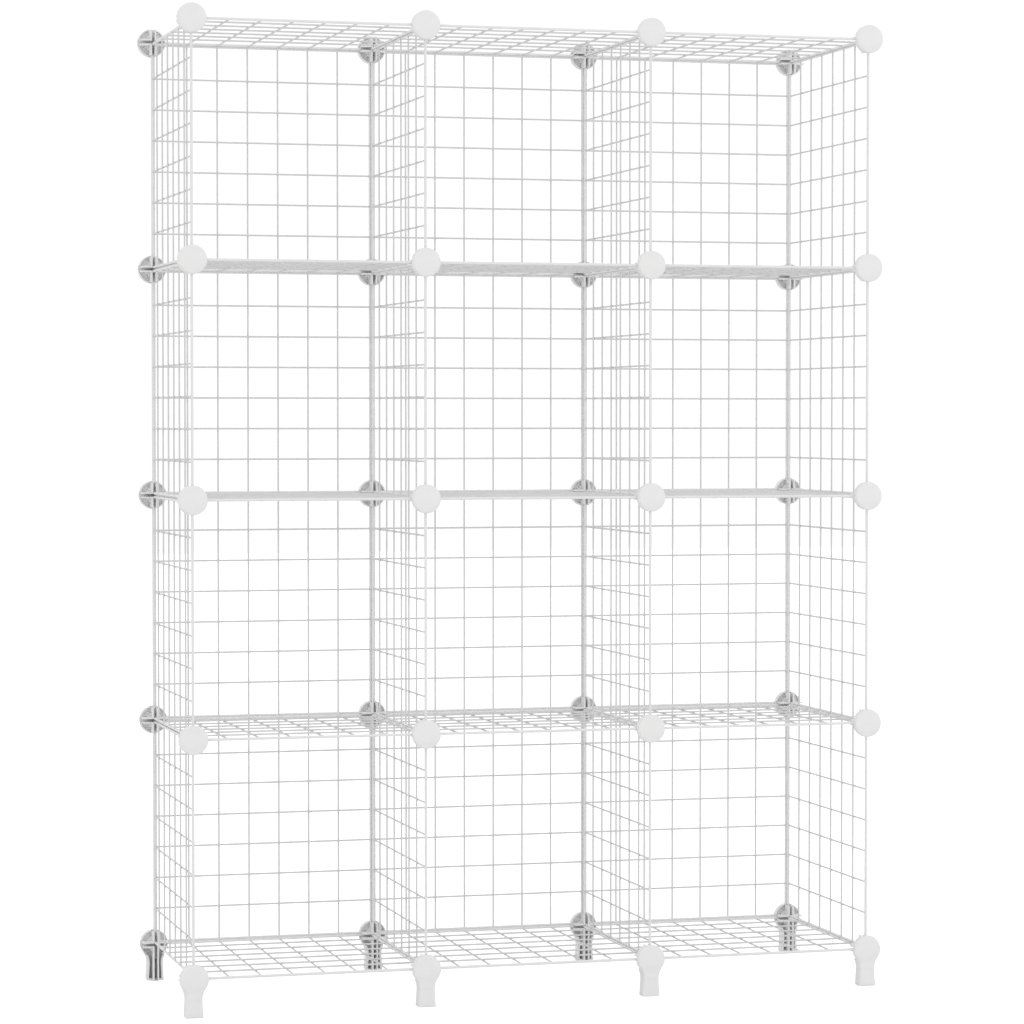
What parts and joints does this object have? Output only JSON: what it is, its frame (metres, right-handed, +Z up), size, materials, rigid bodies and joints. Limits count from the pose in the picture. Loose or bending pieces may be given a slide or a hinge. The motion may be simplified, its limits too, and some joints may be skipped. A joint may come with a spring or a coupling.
{
  "type": "cube storage unit",
  "caption": "Open-fronted modular storage unit of square welded wire panels, joined at their corners by round moulded connectors, the lowest with feet.",
  "frame": {"origin": "on the floor, under the middle of the unit's footprint", "axes": "+X to the right seen from the open front, +Y towards the back panels, +Z up"},
  "size_m": [0.9306, 0.3162, 1.2583],
  "materials": {
    "wire": "smooth white powder coat on steel wire, soft sheen",
    "connector": "white injection-moulded plastic, fine satin texture"
  },
  "bodies": {
    "root": {"upright_panel_p1_r1": "wire", "upright_panel_p1_r2": "wire", "upright_panel_p1_r3": "wire", "upright_panel_p1_r4": "wire", "upright_panel_p2_r1": "wire", "upright_panel_p2_r2": "wire", "upright_panel_p2_r3": "wire", "upright_panel_p2_r4": "wire", "upright_panel_p3_r1": "wire", "upright_panel_p3_r2": "wire", "upright_panel_p3_r3": "wire", "upright_panel_p3_r4": "wire", "upright_panel_p4_r1": "wire", "upright_panel_p4_r2": "wire", "upright_panel_p4_r3": "wire", "upright_panel_p4_r4": "wire", "shelf_panel_c1_l1": "wire", "shelf_panel_c1_l2": "wire", "shelf_panel_c1_l3": "wire", "shelf_panel_c1_l4": "wire", "shelf_panel_c1_l5": "wire", "shelf_panel_c2_l1": "wire", "shelf_panel_c2_l2": "wire", "shelf_panel_c2_l3": "wire", "shelf_panel_c2_l4": "wire", "shelf_panel_c2_l5": "wire", "shelf_panel_c3_l1": "wire", "shelf_panel_c3_l2": "wire", "shelf_panel_c3_l3": "wire", "shelf_panel_c3_l4": "wire", "shelf_panel_c3_l5": "wire", "back_panel_c1_r1": "wire", "back_panel_c1_r2": "wire", "back_panel_c1_r3": "wire", "back_panel_c1_r4": "wire", "back_panel_c2_r1": "wire", "back_panel_c2_r2": "wire", "back_panel_c2_r3": "wire", "back_panel_c2_r4": "wire", "back_panel_c3_r1": "wire", "back_panel_c3_r2": "wire", "back_panel_c3_r3": "wire", "back_panel_c3_r4": "wire", "front_foot_1": "connector", "front_foot_2": "connector", "front_foot_3": "connector", "front_foot_4": "connector", "back_foot_1": "connector", "back_foot_2": "connector", "back_foot_3": "connector", "back_foot_4": "connector", "front_connectors_level_2": "connector", "front_connectors_level_3": "connector", "front_connectors_level_4": "connector", "front_connectors_level_5": "connector", "back_connectors_level_2": "connector", "back_connectors_level_3": "connector", "back_connectors_level_4": "connector", "back_connectors_level_5": "connector"}
  },
  "joints": []
}
